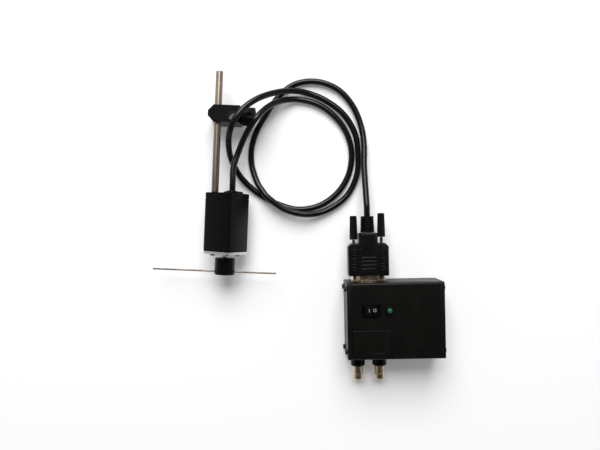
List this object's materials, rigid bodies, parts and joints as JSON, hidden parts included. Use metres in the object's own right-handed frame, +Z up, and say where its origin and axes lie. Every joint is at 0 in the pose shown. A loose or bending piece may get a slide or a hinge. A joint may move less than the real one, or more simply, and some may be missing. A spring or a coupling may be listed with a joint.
{
  "type": "rotary motion sensor with interface box",
  "caption": "Rotary motion sensor on a clamped support rod, with a balance needle through its hub, wired by a cable and nine-way plug to a battery interface box with BNC outputs.",
  "frame": {"origin": "centre of the assembly's footprint on the table top, cable and plug left out", "axes": "+Z up from the table, +Y along the support rod towards its free end (2.3 degrees off), +X from the sensor towards the interface box"},
  "size_m": [0.2618, 0.279, 0.0417],
  "materials": {
    "black_anodised": "satin",
    "aluminium_plate": "satin",
    "screw_steel": "satin",
    "bright_steel": "brushed",
    "circuit_board": "satin",
    "black_plastic": "satin",
    "cable_jacket": "satin",
    "brass_plating": "polished",
    "box_plastic": "fine grain",
    "battery_wrap": "gloss",
    "green_lens": "gloss",
    "nickel_plating": "polished"
  },
  "bodies": {
    "housing": {"sensor_cap": "black_anodised", "sensor_sleeve": "black_anodised", "base_plate": "aluminium_plate", "cap_screw_1": "screw_steel", "cap_screw_2": "screw_steel", "cap_screw_3": "screw_steel", "base_screw_1": "screw_steel", "base_screw_2": "screw_steel", "base_screw_3": "screw_steel", "base_screw_4": "screw_steel", "bearing_cartridge": "aluminium_plate", "lower_bearing": "bright_steel", "upper_bearing": "bright_steel", "sensor_board": "circuit_board", "optical_fork": "black_plastic", "cable_gland": "black_plastic", "cable": "cable_jacket", "strain_relief": "black_plastic", "plug_hood": "black_plastic", "plug_shell": "brass_plating"},
    "rotor": {"rotor_shaft": "bright_steel", "encoder_disc": "screw_steel", "hub": "black_plastic", "needle_screw": "screw_steel"},
    "needle": {"needle": "bright_steel"},
    "rod": {"support_rod": "bright_steel"},
    "clamp": {"clamp_body": "black_anodised"},
    "lock_screw": {"rod_lock_screw": "screw_steel"},
    "stand_knob": {"stand_knob": "black_plastic", "stand_screw": "bright_steel"},
    "thumb_left": {"thumb_left_handle": "black_plastic", "thumb_left_shank": "bright_steel"},
    "thumb_right": {"thumb_right_handle": "black_plastic", "thumb_right_shank": "bright_steel"},
    "box": {"box_sleeve": "box_plastic", "end_panel_left": "box_plastic", "end_panel_right": "box_plastic", "panel_screw_left_1": "screw_steel", "panel_screw_left_2": "screw_steel", "panel_screw_left_3": "screw_steel", "panel_screw_left_4": "screw_steel", "panel_screw_right_1": "screw_steel", "panel_screw_right_2": "screw_steel", "panel_screw_right_3": "screw_steel", "panel_screw_right_4": "screw_steel", "circuit_board": "circuit_board", "battery_cell": "battery_wrap", "cell_holder": "black_plastic", "rocker_frame": "black_plastic", "led_holder": "black_plastic", "led_lens": "green_lens", "box_socket": "brass_plating", "jackscrew_left": "brass_plating", "jackscrew_right": "brass_plating", "bnc_collar_1": "black_plastic", "bnc_collar_2": "black_plastic", "bnc_barrel_1": "nickel_plating", "bnc_barrel_2": "nickel_plating"},
    "rocker": {"rocker": "black_plastic"},
    "door": {"battery_door": "box_plastic"}
  },
  "joints": [
    {"name": "rotor_spin", "type": "hinge", "parent": "housing", "child": "rotor", "pos_m": [-0.06633, -0.04054, 0.0191], "axis": [0.0401, 0.9992, 0], "continuous": true},
    {"name": "needle_slide", "type": "slide", "parent": "rotor", "child": "needle", "axis": [0.9992, -0.0401, 0], "range_m": [-0.036, 0.052]},
    {"name": "rod_turn", "type": "hinge", "parent": "housing", "child": "rod", "pos_m": [-0.07208, 0.0933, 0.02187], "axis": [0.0401, 0.9992, 0], "range_deg": [0, 180]},
    {"name": "clamp_slide", "type": "slide", "parent": "rod", "child": "clamp", "axis": [0.0401, 0.9992, 0], "range_m": [0, 0.028]},
    {"name": "lock_screw_turn", "type": "hinge", "parent": "clamp", "child": "lock_screw", "pos_m": [-0.07977, 0.10126, 0.02187], "axis": [-0.9992, 0.0401, 0], "range_deg": [0, 1080]},
    {"name": "stand_knob_turn", "type": "hinge", "parent": "clamp", "child": "stand_knob", "pos_m": [-0.0468, 0.09994, 0.01448], "axis": [0.9992, -0.0401, 0], "range_deg": [0, 1800]},
    {"name": "thumb_left_turn", "type": "hinge", "parent": "housing", "child": "thumb_left", "pos_m": [0.05, -0.00427, 0.019], "axis": [-0.0192, 0.9998, 0], "range_deg": [0, 2160]},
    {"name": "thumb_right_turn", "type": "hinge", "parent": "housing", "child": "thumb_right", "pos_m": [0.075, -0.00379, 0.019], "axis": [-0.0192, 0.9998, 0], "range_deg": [0, 2160]},
    {"name": "box_unplug", "type": "slide", "parent": "housing", "child": "box", "axis": [0.0192, -0.9998, 0], "range_m": [0, 0.012]},
    {"name": "rocker_tip", "type": "hinge", "parent": "box", "child": "rocker", "pos_m": [0.06397, -0.07271, 0.0376], "axis": [-0.0192, 0.9998, 0], "range_deg": [-20, 0]},
    {"name": "door_slide", "type": "slide", "parent": "box", "child": "door", "axis": [0.0192, -0.9998, 0], "range_m": [0, 0.026]}
  ]
}
